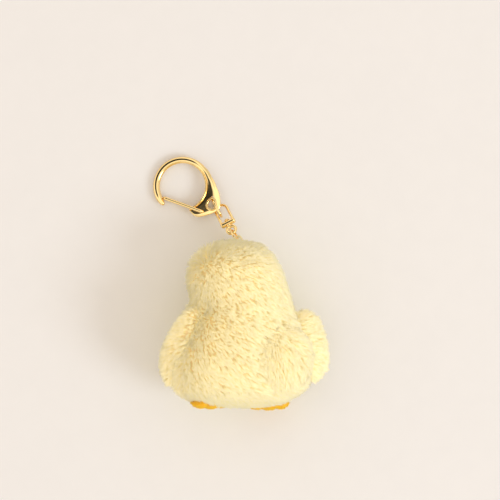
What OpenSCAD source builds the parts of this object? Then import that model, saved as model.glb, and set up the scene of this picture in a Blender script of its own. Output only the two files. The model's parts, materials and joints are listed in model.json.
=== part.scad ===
/* [Stuffed body] */
// Length of the head, from its top to where it sinks into the body
head_len = 43; // [38:0.5:48]
// Width of the head
head_w = 47; // [40:0.5:52]
// Height of the head above its face, as it lies face down
head_h = 38; // [32:0.5:42]
// Length of the body
body_len = 44; // [40:0.5:48]
// Width of the body
body_w = 56; // [50:0.5:57]
// Height of the body above the belly, before the belly flattens
body_h = 49; // [44:0.5:54]
// Thickness of the plush fabric with its pile
skin_t = 3.4; // [2.4:0.1:4.5]
// Turn of the body about its long axis, as it lies on one wing
roll = 25; // [0:1:35]

/* [Wings and tail] */
// Length of a wing along the body
wing_len = 35; // [26:0.5:40]
// Width of a wing, from its seam to its free edge
wing_w = 18; // [14:0.5:19]
// Thickness of a stuffed wing
wing_t = 7; // [6:0.1:7.4]
// Height of the tail above the back
tail_h = 8; // [6:0.5:11]

/* [Feet and face] */
// Width of a foot across its toes
foot_w = 20; // [15:0.5:22]
// Length of a foot, from heel to toe
foot_len = 13; // [11:0.5:14]
// Thickness of a foot
foot_t = 4.6; // [4:0.1:4.8]
// Depth of the notches between the toes
toe_notch = 1.5; // [0.6:0.1:2]
// Diameter of an eye
eye_d = 5; // [3:0.1:6]
// Width of the beak
beak_w = 8; // [5:0.5:10]

/* [Snap hook] */
// Inner radius of the hook's ring
ring_in = 10.4; // [10:0.1:11]
// Thickness of the ring
ring_wire = 3; // [2.6:0.1:3.1]
// Thickness of the plate around the eye of the hook
plate_t = 1.8; // [1.4:0.1:1.9]
// Thickness of the gate's wire
gate_wire = 1.5; // [1.2:0.1:1.5]

/* [Links and swivel] */
// Thickness of the wire of the link and of the bow
link_wire = 1.2; // [1:0.05:1.25]
// Thickness of the wire of the small link at the head
seam_wire = 1; // [0.8:0.05:1.1]
// Width of the swivel's bow
bow_w = 7.1; // [6.8:0.1:7.4]
// Diameter of the swivel's pin
pin_d = 1.6; // [1.2:0.1:1.8]

/* [Hidden] */
$fn = 48;

fur = [0.98, 0.93, 0.68];
felt = [1.0, 0.76, 0.12];
fibre = [0.96, 0.96, 0.94];
gold = [0.86, 0.66, 0.26];
gap = 0.05;              // clear space between a cover and its filling

// The whole part is drawn about the middle of the body and then moved,
// so that the origin is under the middle of its box.
middle = [-0.89, -20.7, 0];

// ---------- small functions ----------

function flat(rows) = [for (r = rows) for (p = r) p];
function power(x, e) = sign(x) * pow(abs(x), e);
function steps(n) = [for (i = [0:n]) i / n];

// A grid of points laid over a disc: x and y run from -1 to 1.
function disc_x(s, t) = s * sqrt(1 - t * t / 2);
function disc_y(s, t) = t * sqrt(1 - s * s / 2);

// Two triangles for each cell of a grid, facing outwards or back.
function cell(a, b, c, d) = [[a, d, c], [a, c, b]];
function grid_faces(n, m, first, turned) = flat([
    for (i = [0:n - 2]) for (j = [0:m - 2])
        let (a = first + i * m + j, b = a + 1, c = b + m, d = a + m)
            turned ? cell(a, d, c, b) : cell(a, b, c, d)
]);
function rim_loop(n, m) = concat(
    [for (j = [0:m - 1]) j],
    [for (i = [1:n - 1]) i * m + m - 1],
    [for (j = [m - 2:-1:0]) (n - 1) * m + j],
    [for (i = [n - 2:-1:1]) i * m]
);

// A solid between two grids of points: an outer face, an inner face and a wall.
module slab(outer, inner) {
    n = len(outer);
    m = len(outer[0]);
    loop = rim_loop(n, m);
    last = len(loop) - 1;
    wall = flat([
        for (k = [0:last])
            let (p = loop[k], q = loop[k == last ? 0 : k + 1])
                [[p, q, q + n * m], [p, q + n * m, p + n * m]]
    ]);
    polyhedron(
        points = concat(flat(outer), flat(inner)),
        faces = concat(
            grid_faces(n, m, 0, false),
            grid_faces(n, m, n * m, true),
            wall
        )
    );
}

// A closed lump made of rings, with a point at each end.
module lump(rings, first, last) {
    n = len(rings);
    m = len(rings[0]);
    side = flat([
        for (i = [0:n - 2]) for (j = [0:m - 1])
            let (k = (j + 1) % m)
                cell(i * m + j, i * m + k, (i + 1) * m + k, (i + 1) * m + j)
    ]);
    ends = flat([
        for (j = [0:m - 1])
            let (k = (j + 1) % m, e = (n - 1) * m)
                [[j, k, n * m], [e + k, e + j, n * m + 1]]
    ]);
    polyhedron(
        points = concat(flat(rings), [first, last]),
        faces = concat(side, ends)
    );
}

// ---------- the stuffed body ----------

head_mid = 20;
body_mid = -10;
head_top = head_mid + head_len / 2;
body_low = body_mid - body_len / 2;
pit_depth = 3.2;         // the head's seam is pulled in around the hang loop
pit_turn = 9;
loop_turn = 2;           // the covers stop here and leave room for the loop
base_turn = 148;         // the base panel's seam
side_seam = -roll;       // the side seams, in degrees around the section
body_steps = 16;
side_steps = 14;
seam_gap = 0.15;         // half the clear angle between two covers at a side seam
base_gap = 0.7;          // clear angle between the base panel and the other covers

// Half a width or a height of a rounded lobe at one place along the body.
function lobe(y, mid, half, size, e) =
    abs(y - mid) >= half ? 0
    : size * pow(1 - pow(abs(y - mid) / half, e), 1 / e);

// Two lobes run into each other at the neck.
function joined(a, b) = pow(pow(a, 6) + pow(b, 6), 1 / 6);
function section(y, head_size, body_size, inset) = joined(
    lobe(y, head_mid, head_len / 2 - inset, head_size / 2 - inset, 2.5),
    lobe(y, body_mid, body_len / 2 - inset, body_size / 2 - inset, 3)
);

// The middle of the section, sideways and in height.
function mid_x(y) = lookup(y, [[-34, -1], [-11, -0.5], [20, -1.4], [42, -1.3]]);
function mid_z(y) = lookup(y, [[-34, 19], [-11, 22], [20, 21.5], [42, 17.5]]);
function lying(z, inset) = max(z, inset * 0.6);

// A point on the body: turn runs from the head's top to the base, side runs
// around the section, and inset moves it in from the outer face.
function on_body(turn, side, inset) =
    let (
        top = head_top - inset,
        low = body_low + inset,
        y = (top + low) / 2 + (top - low) / 2 * cos(turn),
        wide = section(y, head_w, body_w, inset),
        high = section(y, head_h, body_h, inset),
        pit = pit_depth * exp(-pow(turn / pit_turn, 2)),
        z = mid_z(y) + high * power(sin(side), 0.87)
    )
    [mid_x(y) + wide * power(cos(side), 0.87), y - pit, lying(z, inset)];

panel_turns = [
    for (k = steps(body_steps)) loop_turn + (base_turn - loop_turn) * pow(k, 1.5)
];
function panel_grid(from, inset) = [
    for (turn = panel_turns) [
        for (k = steps(side_steps))
            on_body(turn, from + seam_gap + (180 - 2 * seam_gap) * k, inset)
    ]
];

module panel(from) {
    slab(panel_grid(from, 0), panel_grid(from, skin_t));
}

module back_panel() {
    color(fur) panel(side_seam);
}

module front_panel() {
    color(fur) panel(side_seam + 180);
}

// The base closes the end of the body below its seam.
function base_grid(inset) = [
    for (a = steps(10)) [
        for (b = steps(10))
            let (
                x = disc_x(2 * b - 1, 2 * a - 1),
                y = disc_y(2 * b - 1, 2 * a - 1),
                far = norm([x, y])
            )
            on_body(180 - far * (180 - base_turn - base_gap), atan2(y, x), inset)
    ]
];

module base_panel() {
    color(fur) slab(base_grid(0), base_grid(skin_t));
}

// The filling has the covers' own facets, and stays further in behind the base.
filling_in = skin_t + gap;
filling_low = skin_t + 0.5;

module filling() {
    function ring(turn, inset) = [
        for (k = [0:2 * side_steps - 1]) on_body(turn, side_seam + k * 180 / side_steps, inset)
    ];
    behind_covers = [for (turn = panel_turns) ring(turn, filling_in)];
    behind_base = [for (turn = [base_turn + 4:7:174]) ring(turn, filling_low)];
    top = on_body(0, 0, filling_in);
    low = on_body(180, 0, filling_low);
    color(fibre) lump(concat(behind_covers, behind_base), top, low);
}

// Short hand stitches that close the turning gap in the base seam.
stitch_wire = 0.5;
stitch_len = 3;

module closing_stitch() {
    color(fur)
        for (side = [70:9:106])
            translate(on_body(base_turn, side, -0.1))
                rotate([115, 0, 20])
                    cylinder(h = stitch_len, d = stitch_wire, center = true);
}

// ---------- tail ----------

tail_turn = 112;         // where the tail's middle sits on the body
tail_side = 47;
tail_reach = 21;         // half its length, in degrees of turn
tail_spread = 27;        // half its width, in degrees around the section
tail_skin = 2.6;

// Height of the tail over the back, from its middle to its seam.
function tail_rise(x, y) =
    let (far = min(1, norm([x, y])))
    tail_h * pow(1 - far * far, 0.8) + 0.5;

// Half of the tail's disc: way is 1 above its middle seam and -1 below it.
function tail_point(x, y, way, lift) =
    on_body(tail_turn + tail_reach * y, tail_side + tail_spread * x * way, -lift);
function tail_grid(way, under) = [
    for (a = steps(10)) [
        for (b = steps(7))
            let (
                x = disc_x(b, 2 * a - 1),
                y = disc_y(b, 2 * a - 1) * way,
                rise = tail_rise(x, y)
            )
            tail_point(x, y, way, under ? max(rise - tail_skin, 0.2) : rise)
    ]
];

module tail_upper() {
    color(fur) slab(tail_grid(1, false), tail_grid(1, true));
}

module tail_lower() {
    color(fur) slab(tail_grid(-1, false), tail_grid(-1, true));
}

tail_core = 0.75;        // the filling stays this far in from the seam

module tail_filling() {
    function core(level) = [
        for (a = steps(8)) [
            for (b = steps(8))
                let (
                    x = disc_x(2 * b - 1, 2 * a - 1) * tail_core,
                    y = disc_y(2 * b - 1, 2 * a - 1) * tail_core,
                    rise = tail_rise(x, y) - tail_skin - gap
                )
                tail_point(x, y, 1, level * max(rise, 0.4) + (1 - level) * 0.2)
        ]
    ];
    color(fibre) slab(core(1), core(0));
}

// ---------- wings ----------

wing_skin = 2;
left_root = [-23.4, -3, 40.3];
left_hang = -142;        // the way a wing runs from its seam, in the section
right_root = [28.4, -8.5, 20.6];
right_hang = -47;

// The face of a wing, in its own frame: X from the root, Y along the body.
// It is full in the middle and thin along its seam, where it is least thick.
function wing_grid(inset, face, least) = [
    for (a = steps(9)) [
        for (b = steps(9))
            let (
                x = disc_x(2 * b - 1, 2 * a - 1),
                y = disc_y(2 * b - 1, 2 * a - 1),
                far = min(1, norm([x, y])),
                shrink = 1 - 2 * inset / wing_w,
                tip = 1 - 0.22 * x,
                root = 0.35 + 0.65 * sin(90 * min(1, (x + 1) / 1.3)),
                rise = (wing_t / 2 - inset) * sqrt(1 - pow(far, 3)) * root
            )
            [
                wing_w / 2 * (1 + x * shrink),
                wing_len / 2 * y * shrink * tip,
                face * max(rise, least)
            ]
    ]
];

// One of a wing's two covers: way is 1 on its upper face, -1 on its lower.
module wing_cover(way) {
    outside = wing_grid(0, way, 0.4);
    inside = wing_grid(wing_skin, way, 0.05);
    slab(way > 0 ? outside : inside, way > 0 ? inside : outside);
}

module wing_core() {
    slab(wing_grid(wing_skin + gap, 1, 0.1), wing_grid(wing_skin + gap, -1, 0.1));
}

module at_wing(root, hang) {
    translate(root) rotate([0, -hang, 0]) children();
}

// ---------- feet ----------

foot_skin = 1.1;
foot_y = body_low - foot_t / 2 - 0.25;
left_foot_at = [-15.4, foot_y, 23.5];
right_foot_at = [12.4, foot_y, 10.8];

// How far a foot's face stands out: three toes side by side, with notches.
function toe_wave(x, y) =
    let (across = abs(sin(270 * x + 90)))
    1 - toe_notch / foot_t * (1 - across) * (0.7 + 0.3 * y);
function foot_point(x, y, inset, face, least) =
    let (
        far = min(1, norm([x, y])),
        rise = (foot_t / 2 - inset) * sqrt(1 - pow(far, 4)) * toe_wave(x, y)
    )
    [
        (foot_w / 2 - inset) * x * (1 + 0.08 * y),
        (foot_len / 2 - inset) * y,
        face * max(rise, least)
    ];
function foot_grid(inset, face, least) = [
    for (a = steps(8)) [
        for (b = steps(12))
            let (s = 2 * a - 1, t = 2 * b - 1)
            foot_point(disc_x(t, s), disc_y(t, s), inset, face, least)
    ]
];

// One of a foot's two layers: way is 1 for the sole, -1 for the top.
module foot_cover(way) {
    outside = foot_grid(0, way, 0.4);
    inside = foot_grid(foot_skin, way, 0.05);
    slab(way > 0 ? outside : inside, way > 0 ? inside : outside);
}

module foot_core() {
    slab(foot_grid(foot_skin + gap, 1, 0.1), foot_grid(foot_skin + gap, -1, 0.1));
}

module at_foot(place) {
    translate(place)
        rotate([0, roll, 0])
            rotate([90, 0, 0])
                rotate([0, 0, 180])
                    children();
}

// ---------- face ----------

face_turn = 66;          // how far down the head the face sits
face_side = 270 - roll;
eye_spread = 30;
shank_d = 2;
shank_len = 6;
washer_d = 7;
washer_t = 1;

// The way the body's surface faces at one place.
function facing(turn, side) =
    let (
        a = on_body(turn, side + 2, 0) - on_body(turn, side - 2, 0),
        b = on_body(turn + 2, side, 0) - on_body(turn - 2, side, 0)
    )
    cross(a, b) / norm(cross(a, b));

module at_face(turn, side) {
    way = facing(turn, side);
    translate(on_body(turn, side, 0))
        rotate([0, acos(way[2]), atan2(way[1], way[0])])
            children();
}

// An eye: a dome with a shank that passes through the cover.
module eye(side) {
    at_face(face_turn - 4, side) {
        intersection() {
            translate([0, 0, -eye_d * 0.3]) sphere(d = eye_d);
            translate([0, 0, eye_d / 2 - 1.2]) cube([eye_d, eye_d, eye_d], center = true);
        }
        translate([0, 0, -shank_len - 1]) cylinder(h = shank_len, d = shank_d);
    }
}

module washer(side) {
    at_face(face_turn - 4, side)
        translate([0, 0, -skin_t - washer_t - 1.2])
            difference() {
                cylinder(h = washer_t, d = washer_d);
                translate([0, 0, -1]) cylinder(h = washer_t + 2, d = shank_d + 0.1);
            }
}

// Half of the beak: a blunt cone cut along the mouth.
module beak_half(way) {
    at_face(face_turn + 3, face_side)
        intersection() {
            translate([0, 0, -1.6])
                scale([1, 0.72, 1])
                    cylinder(h = 5, d1 = beak_w, d2 = beak_w * 0.3);
            translate([0, way * (beak_w / 2 + 0.1), 0])
                cube([beak_w * 2, beak_w, beak_w * 2], center = true);
        }
}

// ---------- hang loop and small link ----------

loop_cord = 1;
loop_w = 4;
loop_run = 5.8;
small_link_from = [-3.7, 44.82, 10.36];
small_link_to = [-1.4, 40.9, 14.9];
small_link_way = small_link_to - small_link_from;
small_link_run = norm(small_link_way);
small_link_w = 3.8;
small_link_twist = -70;

// An oval ring of wire in the XY plane: its ends are at 0 and at run on Y.
module oval(run, wide, wire) {
    r = wide / 2;
    for (end = [0, 1])
        translate([0, end * (run - wide) + r, 0])
            rotate([0, 0, end ? 0 : 180])
                rotate_extrude(angle = 180)
                    translate([r, 0]) circle(d = wire);
    if (run > wide)
        for (x = [-r, r])
            translate([x, r, 0])
                rotate([-90, 0, 0]) cylinder(h = run - wide, d = wire);
}

// Puts Y along the way from one point to another, turned about that way.
module along(from, to, twist) {
    way = to - from;
    translate(from)
        rotate([0, 0, atan2(way[1], way[0]) - 90])
            rotate([asin(way[2] / norm(way)), 0, 0])
                rotate([0, twist, 0])
                    children();
}

// The loop goes through the small link and down into the head's seam.
module hang_loop() {
    apart = (seam_wire + loop_cord) / 2 + 0.1;
    far = small_link_to - small_link_way / small_link_run * apart;
    color(fur)
        along(far, far + small_link_way, small_link_twist + 90)
            oval(loop_run, loop_w, loop_cord);
}

module seam_link() {
    color(gold)
        along(small_link_from, small_link_to, small_link_twist)
            oval(small_link_run, small_link_w, seam_wire);
}

// ---------- swivel ----------

bow_base = [-5.4, 48.1, 7.9];
bow_far = [-9.45, 56, 1.9];
bow_run = norm(bow_far - bow_base);
bow_wire = link_wire;
bow_bend = (bow_w - bow_wire) / 2 - 0.15;    // radius of the bow's arc
bar_t = 2.2;
bar_deep = 2.6;
pin_clear = 0.05;
eye_r = 1.95;
eye_wire = 1.4;
eye_drop = 4;            // from the bar to the middle of the eye

module at_swivel() {
    along(bow_base, bow_far, 0) children();
}

// The bow: a bar with a bore, two legs and an arc.
module swivel_bow() {
    color(gold)
        at_swivel() {
            difference() {
                union() {
                    cube([bow_w - bar_deep, bar_t, bar_deep], center = true);
                    for (x = [-1, 1])
                        translate([x * (bow_w - bar_deep) / 2, 0, 0])
                            rotate([90, 0, 0])
                                cylinder(h = bar_t, d = bar_deep, center = true);
                }
                rotate([90, 0, 0])
                    cylinder(h = bar_t * 2, d = pin_d + 2 * pin_clear, center = true);
            }
            for (x = [-1, 1])
                translate([x * bow_bend, 0, 0])
                    rotate([-90, 0, 0]) cylinder(h = bow_run - bow_bend, d = bow_wire);
            translate([0, bow_run - bow_bend, 0])
                rotate_extrude(angle = 180)
                    translate([bow_bend, 0]) circle(d = bow_wire);
        }
}

// The eye: a ring, a pin through the bar and a rounded head.
module swivel_eye() {
    collar = 1.3;
    head_d = 2.4;
    color(gold)
        at_swivel() {
            translate([0, -eye_drop, 0])
                rotate_extrude() translate([eye_r, 0]) circle(d = eye_wire);
            translate([0, -bar_t / 2 - collar, 0])
                rotate([-90, 0, 0]) cylinder(h = collar - 0.1, d = 2.3);
            translate([0, -eye_drop + eye_r, 0])
                rotate([-90, 0, 0])
                    cylinder(h = eye_drop - eye_r + bar_t / 2 + 0.3, d = pin_d);
            translate([0, bar_t / 2 + 0.1, 0])
                rotate([-90, 0, 0])
                    intersection() {
                        cylinder(h = head_d / 2, d = head_d);
                        sphere(d = head_d + 0.1);
                    }
        }
}

// ---------- link between the swivel and the hook ----------

hook_end = [-12.4, 58.5, 4.6];
link_low = link_wire / 2;
link_h = 6;
link_from = [-8.4, 51.1, link_low + link_h / 2];
link_to = [hook_end[0], hook_end[1], link_low + link_h / 2];

module hook_link() {
    color(gold)
        along(link_from, link_to, 90)
            oval(norm(link_to - link_from), link_h, link_wire);
}

// ---------- snap hook ----------

// The hook is drawn flat about the middle of its ring.
ring_mid = ring_in + ring_wire / 2;
hook_eye = [13.7, -6.4];             // where the link stands in the hook
eye_mid = [13.2, -8.6];
eye_hole = 2.4;
eye_tip = [13.9, -4.6];
pivot = [9, -11.6];
hook_tilt = 6.1;
hook_way = atan2(-hook_eye[1], -hook_eye[0]);
nose_turn = 223;
neck_turn = 60;
lug_t = 1.4;
pocket_r = 7;

module at_hook() {
    translate(hook_end)
        rotate([0, 0, hook_way])
            rotate([0, hook_tilt, 0])
                rotate([0, 0, -hook_way])
                    translate([-hook_eye[0], -hook_eye[1], 0])
                        children();
}

// Outline of the plate, clockwise from the ring to the lug.
plate_edge = [
    [6.2, 11.6], [9.8, 8.5], [13.2, 4.1], [15.5, -0.5], [17, -4.6], [17.3, -8.7],
    [16.4, -10.9], [14.1, -12.2], [10.9, -13.3], [7.5, -14], [5.2, -13.8],
    [3.6, -12.4], [3.1, -11.2], [4, -9], [8, 0], [4, 9]
];

module plate_2d() {
    difference() {
        polygon(plate_edge);
        circle(r = ring_in, $fn = 96);
        translate(eye_mid) circle(r = eye_hole);
        polygon([
            eye_tip,
            eye_mid + [-2.3, 0.7],
            eye_mid + [2.1, 1.1]
        ]);
    }
}

module hook_frame() {
    color(gold)
        at_hook()
            difference() {
                union() {
                    rotate([0, 0, neck_turn])
                        rotate_extrude(angle = nose_turn - neck_turn, $fn = 96)
                            translate([ring_mid, 0]) circle(d = ring_wire);
                    translate([0, 0, -plate_t / 2])
                        linear_extrude(plate_t) plate_2d();
                    rotate([0, 0, nose_turn])
                        translate([ring_mid, 0, 0]) sphere(d = ring_wire);
                }
                for (side = [0, 1])
                    mirror([0, 0, side])
                        translate([pivot[0], pivot[1], lug_t / 2])
                            cylinder(h = 4, r = pocket_r);
                translate([pivot[0], pivot[1], 0])
                    cylinder(h = 10, d = pin_d + 2 * pin_clear, center = true);
            }
}

// The gate: a hairpin of wire with a leg on each face of the lug.
gate_gap = lug_t / 2 + gate_wire / 2 + 0.1;
gate_end = [-6.35, -6.03];
gate_run = norm(gate_end - pivot);

module hook_gate() {
    way = gate_end - pivot;
    color(gold)
        at_hook()
            translate([pivot[0], pivot[1], 0])
                rotate([0, 0, atan2(way[1], way[0])]) {
                    for (z = [-gate_gap, gate_gap])
                        translate([0, 0, z]) {
                            rotate([0, 90, 0]) cylinder(h = gate_run, d = gate_wire);
                            sphere(d = gate_wire);
                        }
                    cylinder(h = 2 * gate_gap, d = pin_d, center = true);
                    translate([gate_run, 0, 0])
                        rotate([90, 0, 0])
                            rotate([0, 0, -90])
                                rotate_extrude(angle = 180)
                                    translate([gate_gap, 0]) circle(d = gate_wire);
                }
}

// ---------- what each node draws ----------

module left_wing_outer() {
    color(fur) at_wing(left_root, left_hang) wing_cover(-1);
}

module left_wing_inner() {
    color(fur) at_wing(left_root, left_hang) wing_cover(1);
}

module left_wing_filling() {
    color(fibre) at_wing(left_root, left_hang) wing_core();
}

module right_wing_outer() {
    color(fur) at_wing(right_root, right_hang) wing_cover(1);
}

module right_wing_inner() {
    color(fur) at_wing(right_root, right_hang) wing_cover(-1);
}

module right_wing_filling() {
    color(fibre) at_wing(right_root, right_hang) wing_core();
}

module left_foot_sole() {
    color(felt) at_foot(left_foot_at) foot_cover(1);
}

module left_foot_top() {
    color(felt) at_foot(left_foot_at) foot_cover(-1);
}

module left_foot_filling() {
    color(fibre) at_foot(left_foot_at) foot_core();
}

module right_foot_sole() {
    color(felt) at_foot(right_foot_at) foot_cover(1);
}

module right_foot_top() {
    color(felt) at_foot(right_foot_at) foot_cover(-1);
}

module right_foot_filling() {
    color(fibre) at_foot(right_foot_at) foot_core();
}

module beak_upper() {
    color(felt) beak_half(1);
}

module beak_lower() {
    color(felt) beak_half(-1);
}

module left_eye() {
    color("black") eye(face_side - eye_spread);
}

module right_eye() {
    color("black") eye(face_side + eye_spread);
}

module left_eye_washer() {
    color("white") washer(face_side - eye_spread);
}

module right_eye_washer() {
    color("white") washer(face_side + eye_spread);
}

translate(middle) {
    back_panel();
    front_panel();
    base_panel();
    filling();
    left_wing_outer();
    left_wing_inner();
    left_wing_filling();
    right_wing_outer();
    right_wing_inner();
    right_wing_filling();
    tail_upper();
    tail_lower();
    tail_filling();
    left_foot_top();
    left_foot_sole();
    left_foot_filling();
    right_foot_top();
    right_foot_sole();
    right_foot_filling();
    beak_upper();
    beak_lower();
    left_eye();
    right_eye();
    left_eye_washer();
    right_eye_washer();
    closing_stitch();
    hang_loop();
    seam_link();
    swivel_eye();
    swivel_bow();
    hook_link();
    hook_frame();
    hook_gate();
}
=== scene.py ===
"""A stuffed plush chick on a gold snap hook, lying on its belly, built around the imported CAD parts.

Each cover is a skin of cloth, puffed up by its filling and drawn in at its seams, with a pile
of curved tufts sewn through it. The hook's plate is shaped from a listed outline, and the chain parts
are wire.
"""

import json
import math

import bmesh
import bpy
import numpy as np
from mathutils import Matrix, Vector


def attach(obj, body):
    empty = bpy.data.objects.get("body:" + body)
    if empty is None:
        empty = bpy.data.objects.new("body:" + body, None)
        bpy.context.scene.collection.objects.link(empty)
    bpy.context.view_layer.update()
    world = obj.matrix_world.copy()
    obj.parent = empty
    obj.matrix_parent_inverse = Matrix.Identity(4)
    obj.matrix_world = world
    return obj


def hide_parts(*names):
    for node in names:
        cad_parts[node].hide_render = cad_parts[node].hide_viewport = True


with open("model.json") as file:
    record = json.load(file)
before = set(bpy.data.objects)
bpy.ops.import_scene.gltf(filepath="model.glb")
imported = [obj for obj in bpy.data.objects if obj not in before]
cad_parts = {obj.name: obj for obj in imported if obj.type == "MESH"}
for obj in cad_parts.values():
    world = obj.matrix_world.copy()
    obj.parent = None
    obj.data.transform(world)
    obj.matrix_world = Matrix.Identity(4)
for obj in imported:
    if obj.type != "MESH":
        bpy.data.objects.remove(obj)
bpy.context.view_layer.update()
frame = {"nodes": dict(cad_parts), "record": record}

MM = 0.001
# The chick is drawn about the middle of its body and moved to the CAD's origin with this shift.
MIDDLE = np.array([-0.89, -20.7, 0.0])


def place(points):
    """Points in millimetres about the chick's middle, as metres in the CAD frame."""
    return (np.asarray(points, float) + MIDDLE) * MM


def unplace(points):
    """Metres in the CAD frame, as millimetres about the chick's middle."""
    return np.asarray(points, float) / MM - MIDDLE


def unit(vectors):
    length = np.linalg.norm(vectors, axis=-1, keepdims=True)
    return vectors / np.maximum(length, 1e-9)


def power(x, e):
    return np.sign(x) * np.abs(x) ** e


# ---------------------------------------------------------------- camera

VIEW_MIDDLE = (0.00361, 0.0153)  # where the camera looks, beside the part's middle
VIEW_WIDTH = 0.225
CAMERA_HEIGHT = 1.5
BODY_LEVEL = 0.012

camera_data = bpy.data.cameras.new("camera")
camera = bpy.data.objects.new("camera", camera_data)
bpy.context.scene.collection.objects.link(camera)
camera.location = (*VIEW_MIDDLE, CAMERA_HEIGHT)
camera_data.sensor_width = 36
camera_data.lens = 36 * (CAMERA_HEIGHT - BODY_LEVEL) / VIEW_WIDTH
camera_data.clip_start = 0.01
bpy.context.scene.camera = camera


# ---------------------------------------------------------------- shader groups and materials


def new_group(name, inputs, outputs):
    """A shader node group with its input and output nodes. inputs are (name, kind, value)."""
    group = bpy.data.node_groups.new(name, "ShaderNodeTree")
    for title, kind, value in inputs:
        socket = group.interface.new_socket(title, in_out="INPUT", socket_type=kind)
        if value is not None:
            socket.default_value = value
    for title, kind in outputs:
        group.interface.new_socket(title, in_out="OUTPUT", socket_type=kind)
    return group, group.nodes.new("NodeGroupInput"), group.nodes.new("NodeGroupOutput")


def node(tree, kind, links=(), **values):
    """Adds a node, sets its plain values and links sockets into it: links are (socket, input)."""
    made = tree.nodes.new(kind)
    for key, value in values.items():
        setattr(made, key, value)
    for source, name in links:
        if isinstance(source, (int, float, tuple)):
            made.inputs[name].default_value = source
        else:
            tree.links.new(source, made.inputs[name])
    return made


FLOAT, COLOUR, VECTOR = "NodeSocketFloat", "NodeSocketColor", "NodeSocketVector"
MIX_FACTOR, MIX_FIRST, MIX_SECOND, MIX_RESULT = 0, 6, 7, 2  # the mix node's sockets for colours


def grain_group():
    """Fine grain: a value and a bump height, from two sizes of noise on the object itself."""
    group, given, out = new_group(
        "grain",
        [("Scale", FLOAT, 900.0), ("Depth", FLOAT, 0.3)],
        [("Value", FLOAT), ("Normal", VECTOR)],
    )
    place_node = node(group, "ShaderNodeTexCoord")
    coarse = node(
        group,
        "ShaderNodeTexNoise",
        [(place_node.outputs["Object"], "Vector"), (given.outputs["Scale"], "Scale")],
    )
    double = node(
        group, "ShaderNodeMath", [(given.outputs["Scale"], 0), (3.1, 1)], operation="MULTIPLY"
    )
    fine = node(
        group,
        "ShaderNodeTexNoise",
        [(place_node.outputs["Object"], "Vector"), (double.outputs[0], "Scale")],
    )
    both = node(
        group,
        "ShaderNodeMath",
        [(coarse.outputs["Fac"], 0), (fine.outputs["Fac"], 1)],
        operation="ADD",
    )
    half = node(group, "ShaderNodeMath", [(both.outputs[0], 0), (0.5, 1)], operation="MULTIPLY")
    bump = node(
        group,
        "ShaderNodeBump",
        [(given.outputs["Depth"], "Strength"), (0.0002, "Distance"), (half.outputs[0], "Height")],
    )
    group.links.new(half.outputs[0], out.inputs["Value"])
    group.links.new(bump.outputs["Normal"], out.inputs["Normal"])
    return group


def pile_group():
    """The colour of one tuft, from its root to its tip, with a little change from tuft to tuft. The
    darker root colour is painted shade deep in the pile.
    """
    group, given, out = new_group(
        "pile",
        [("Root", COLOUR, None), ("Tip", COLOUR, None), ("Change", FLOAT, 0.12)],
        [("Colour", COLOUR)],
    )
    along = node(group, "ShaderNodeAttribute", attribute_name="along")
    tone = node(group, "ShaderNodeAttribute", attribute_name="tone")
    blend = node(
        group,
        "ShaderNodeMix",
        [
            (along.outputs["Fac"], MIX_FACTOR),
            (given.outputs["Root"], MIX_FIRST),
            (given.outputs["Tip"], MIX_SECOND),
        ],
        data_type="RGBA",
    )
    centred = node(group, "ShaderNodeMath", [(tone.outputs["Fac"], 0), (0.5, 1)], operation="SUBTRACT")
    scaled = node(
        group,
        "ShaderNodeMath",
        [(centred.outputs[0], 0), (given.outputs["Change"], 1)],
        operation="MULTIPLY",
    )
    value = node(group, "ShaderNodeMath", [(scaled.outputs[0], 0), (1.0, 1)], operation="ADD")
    shade = node(
        group,
        "ShaderNodeHueSaturation",
        [(value.outputs[0], "Value"), (blend.outputs[MIX_RESULT], "Color")],
    )
    group.links.new(shade.outputs["Color"], out.inputs["Colour"])
    return group


GRAIN = grain_group()
PILE = pile_group()


def new_material(name, **plain):
    """A material with a Principled shader whose plain values are set on its own sockets."""
    material = bpy.data.materials.new(name)
    material.use_nodes = True
    shader = material.node_tree.nodes["Principled BSDF"]
    for key, value in plain.items():
        shader.inputs[key.replace("_", " ")].default_value = value
    return material, material.node_tree, shader


def use_group(tree, group, **values):
    """Puts a node group into a material, with plain values on its own sockets."""
    made = tree.nodes.new("ShaderNodeGroup")
    made.node_tree = group
    for key, value in values.items():
        made.inputs[key].default_value = value
    return made


def pile_material(name, root, tip, change):
    """Tufts of fibre, darker at their roots with painted shade. A little emission stands for the light
    that scatters through them.
    """
    material, tree, shader = new_material(name, Roughness=0.85, Emission_Strength=0.2)
    pile = use_group(tree, PILE, Root=(*root, 1), Tip=(*tip, 1), Change=change)
    tree.links.new(pile.outputs["Colour"], shader.inputs["Base Color"])
    tree.links.new(pile.outputs["Colour"], shader.inputs["Emission Color"])
    return material


def cloth_material(name, dark, light, scale, depth=0.4, **plain):
    """A grained surface, such as cloth or plastic: grain drives its colour and its bump."""
    material, tree, shader = new_material(name, **plain)
    grain = use_group(tree, GRAIN, Scale=scale, Depth=depth)
    ramp = node(tree, "ShaderNodeValToRGB", [(grain.outputs["Value"], "Fac")])
    ramp.color_ramp.elements[0].position = 0.38
    ramp.color_ramp.elements[0].color = (*dark, 1)
    ramp.color_ramp.elements[1].position = 0.62
    ramp.color_ramp.elements[1].color = (*light, 1)
    tree.links.new(ramp.outputs["Color"], shader.inputs["Base Color"])
    tree.links.new(grain.outputs["Normal"], shader.inputs["Normal"])
    return material


def metal_material(name, colour, low, high):
    """Polished plating: its roughness changes a little over the surface, as handling marks do."""
    material, tree, shader = new_material(name, Metallic=1.0, Base_Color=(*colour, 1))
    grain = use_group(tree, GRAIN, Scale=350.0, Depth=0.02)
    spread = node(
        tree,
        "ShaderNodeMapRange",
        [(grain.outputs["Value"], "Value"), (0.35, 1), (0.65, 2), (low, 3), (high, 4)],
    )
    tree.links.new(spread.outputs[0], shader.inputs["Roughness"])
    return material


# Root and tip colours: the root's deeper, darker yellow is painted shade deep in the pile.
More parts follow.
